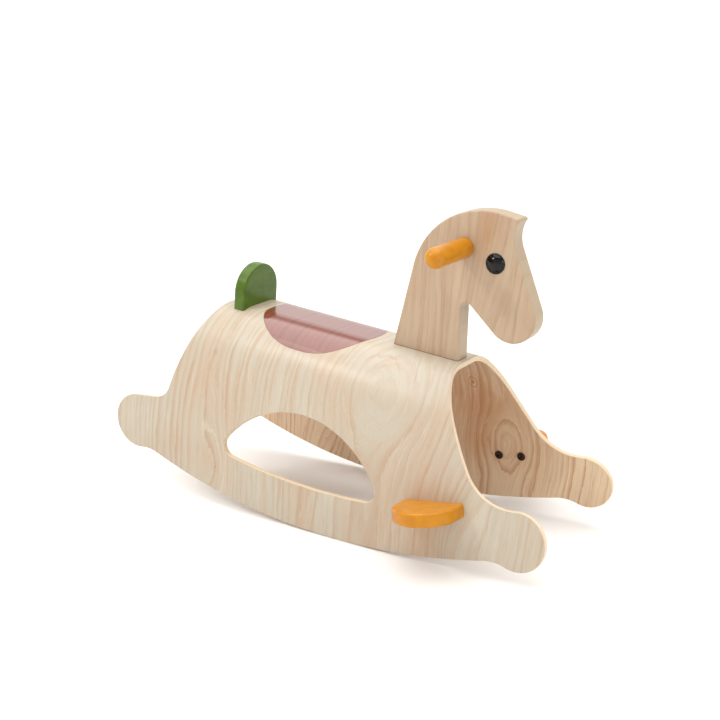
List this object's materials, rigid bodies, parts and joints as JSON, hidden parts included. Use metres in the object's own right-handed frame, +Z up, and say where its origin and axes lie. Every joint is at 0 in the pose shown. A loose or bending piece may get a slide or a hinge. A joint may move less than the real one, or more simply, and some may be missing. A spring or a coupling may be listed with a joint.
{
  "type": "rocking horse",
  "caption": "Child's rocking horse: bent-plywood arch on curved rockers, wooden head, handles, footrests, saddle inlay and backrest.",
  "frame": {"origin": "on the floor under the middle of the bounding box, with the rocker edges resting at Z = 0", "axes": "+X forward towards the horse's muzzle, +Y to the horse's left, +Z up"},
  "size_m": [0.7712, 0.3876, 0.488],
  "materials": {
    "birch_ply": "bent birch plywood under a clear satin lacquer",
    "head_wood": "solid hardwood under a clear satin lacquer",
    "orange_paint": "semi-gloss orange-yellow paint on wood",
    "green_paint": "semi-gloss green paint on wood",
    "saddle_lacquer": "dark red-brown stain under high gloss lacquer",
    "eye_black": "gloss black",
    "bolt_bronze": "dark bronze coated steel",
    "zinc": "zinc-plated"
  },
  "bodies": {
    "root": {"plywood_arch": "birch_ply", "saddle_inlay": "saddle_lacquer", "head_board": "head_wood", "left_handle": "orange_paint", "right_handle": "orange_paint", "left_eye": "eye_black", "right_eye": "eye_black", "backrest": "green_paint", "left_footrest": "orange_paint", "right_footrest": "orange_paint", "head_bolts": "bolt_bronze", "head_washers": "zinc", "head_inserts": "zinc", "backrest_bolts": "bolt_bronze", "backrest_washers": "zinc", "backrest_inserts": "zinc", "left_footrest_bolts": "bolt_bronze", "right_footrest_bolts": "bolt_bronze", "left_footrest_inserts": "zinc", "right_footrest_inserts": "zinc"}
  },
  "joints": []
}
